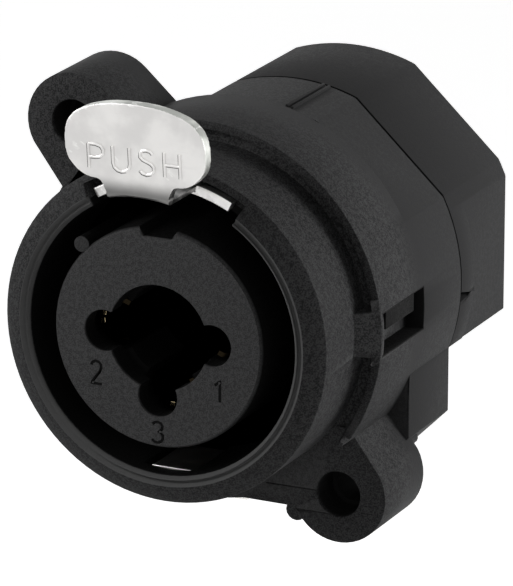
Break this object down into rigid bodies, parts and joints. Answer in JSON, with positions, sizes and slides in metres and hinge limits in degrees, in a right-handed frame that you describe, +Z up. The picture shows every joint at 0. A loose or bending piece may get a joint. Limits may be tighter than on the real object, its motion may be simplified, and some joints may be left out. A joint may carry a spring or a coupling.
{
  "type": "xlr panel socket",
  "caption": "Black moulded panel socket for a round multi-pole plug or a jack plug, with two screw ears on a diagonal and a metal push latch.",
  "frame": {"origin": "on the connector axis, in the plane of the ears' front faces, which bears on the back of the panel", "axes": "-Y out of the socket towards the plug, +X to the right seen from the front, +Z up towards the push latch"},
  "size_m": [0.0268, 0.0377, 0.0322],
  "materials": {
    "moulded_black": "fine moulded grain",
    "insert_black": "fine moulded grain",
    "cast_nickel": "nickel plate over a casting",
    "gold_plate": "gold plate",
    "tinned_strip": "tinned spring strip"
  },
  "bodies": {
    "housing": {"front_shell": "moulded_black", "rear_shell": "moulded_black", "contact_insert": "insert_black", "jack_carrier": "insert_black", "plug_contact_1": "gold_plate", "plug_contact_2": "gold_plate", "plug_contact_3": "gold_plate", "jack_tip_spring": "tinned_strip", "jack_ring_spring": "tinned_strip", "jack_sleeve_spring": "tinned_strip", "ground_spring": "tinned_strip", "latch_spring": "tinned_strip"},
    "latch": {"latch_lever": "cast_nickel"}
  },
  "joints": [
    {"name": "latch_hinge", "type": "hinge", "parent": "housing", "child": "latch", "pos_m": [0, -0.0058, 0.0102], "axis": [1, 0, 0], "range_deg": [0, 7], "stiffness_Nm_per_rad": 0.02, "springref_deg": -17.19, "deforming": ["latch_spring"]}
  ]
}
